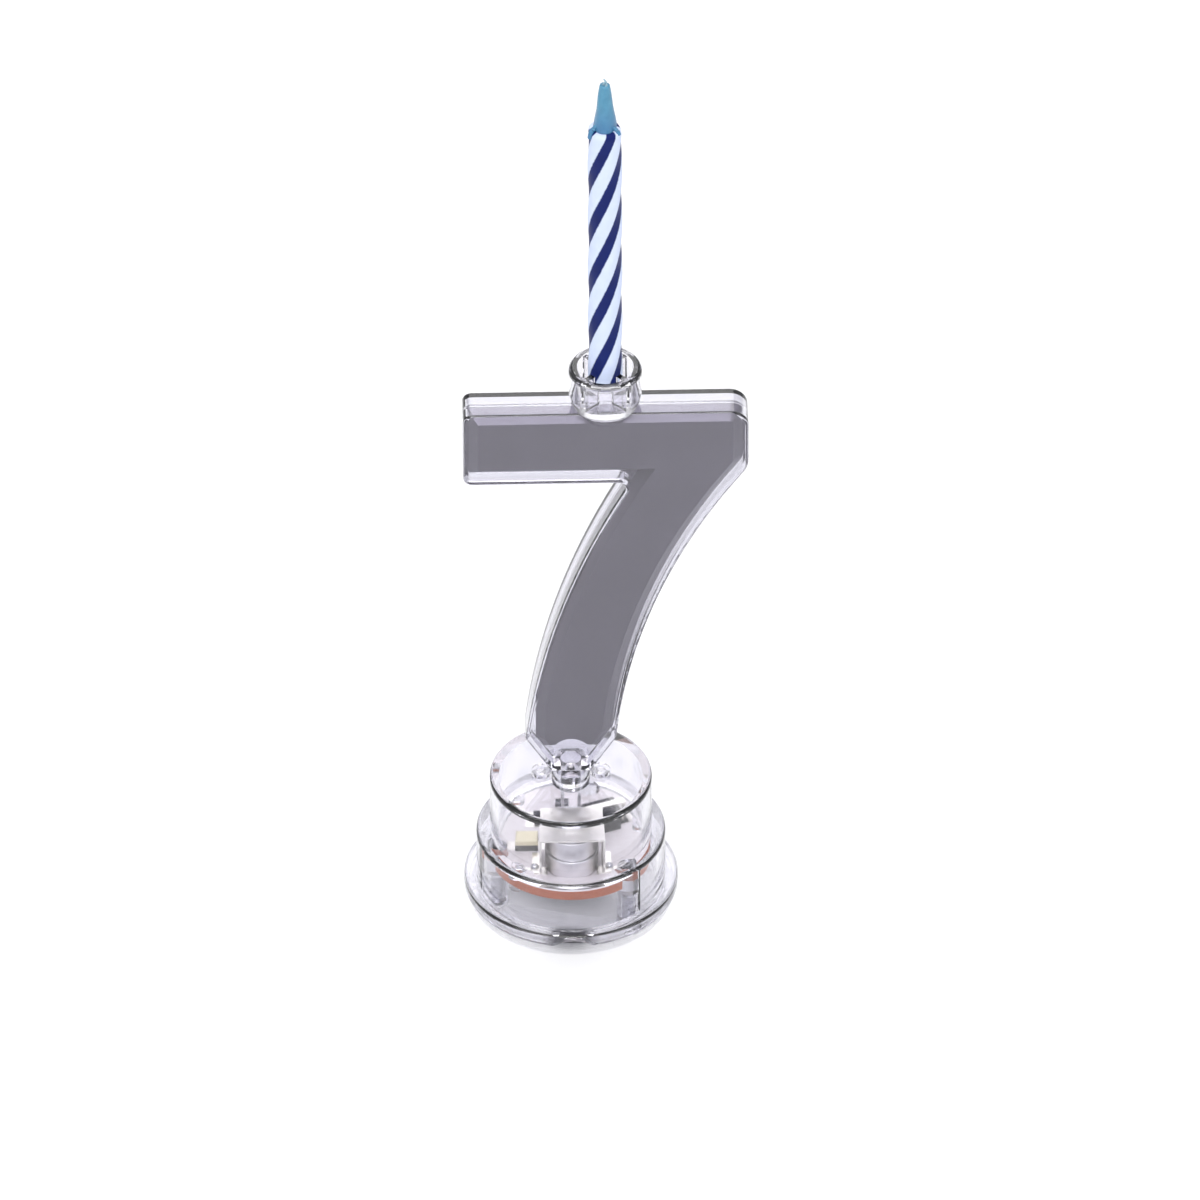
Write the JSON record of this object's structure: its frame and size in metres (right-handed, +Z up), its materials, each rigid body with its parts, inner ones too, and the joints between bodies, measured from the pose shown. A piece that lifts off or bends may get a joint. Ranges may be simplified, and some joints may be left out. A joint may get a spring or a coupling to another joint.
{
  "type": "light-up number candle holder",
  "caption": "Clear light-up numeral seven on a tiered base, holding a small spiral birthday candle in a cup on its bar.",
  "frame": {"origin": "centre of the base's flat underside", "axes": "+Z up along the candle; the numeral reads correctly from the front, which faces -Y; +X is to the reader's right"},
  "size_m": [0.0432, 0.0326, 0.1569],
  "materials": {
    "clear_plastic": "clear moulded polystyrene, glossy",
    "silvered_panel": "grey vacuum-silvered plastic sheet",
    "phenolic_board": "brown paper-phenolic laminate",
    "cell_steel": "bright nickel-plated steel",
    "clip_steel": "bright tinned spring steel",
    "chip_epoxy": "black moulded block",
    "capacitor_body": "cream moulded body",
    "resistor_body": "black glazed chip with plated ends",
    "solder": "bright solder",
    "led_epoxy": "water-clear epoxy",
    "lead_steel": "tinned steel wire",
    "switch_black": "black moulded nylon",
    "plunger_white": "white acetal",
    "spring_steel": "bright spring wire",
    "button_plastic": "black moulded plastic",
    "screw_steel": "nickel-plated steel",
    "wax": "white paraffin wax with navy spiral stripes",
    "wick_cotton": "braided cotton, blue",
    "wax_teal": "teal paraffin wax"
  },
  "bodies": {
    "holder": {"base_shell": "clear_plastic", "bottom_cover": "clear_plastic", "cover_screws": "screw_steel", "circuit_board": "phenolic_board", "cell_lower": "cell_steel", "cell_upper": "cell_steel", "negative_contact": "clip_steel", "battery_clip": "clip_steel", "driver_chip": "chip_epoxy", "link_strip": "lead_steel", "capacitor": "capacitor_body", "resistors": "resistor_body", "solder_joints": "solder", "led_lens": "led_epoxy", "led_frame": "lead_steel", "led_leads": "lead_steel", "switch_body": "switch_black", "switch_spring": "spring_steel", "numeral_front": "clear_plastic", "numeral_back": "clear_plastic", "reflector_panel": "silvered_panel", "candle_cup": "clear_plastic"},
    "candle": {"candle_wax": "wax", "candle_wick": "wick_cotton", "wick_coating": "wax_teal"},
    "button": {"push_button": "button_plastic", "switch_plunger": "plunger_white"}
  },
  "joints": [
    {"name": "candle_lift", "type": "slide", "parent": "holder", "child": "candle", "axis": [0, 0, 1], "range_m": [0, 0.012]},
    {"name": "button_press", "type": "slide", "parent": "holder", "child": "button", "axis": [0, 0, 1], "range_m": [0, 0.0012], "stiffness_N_per_m": 1200, "springref_m": -0.0002, "deforming": ["switch_spring"]}
  ]
}
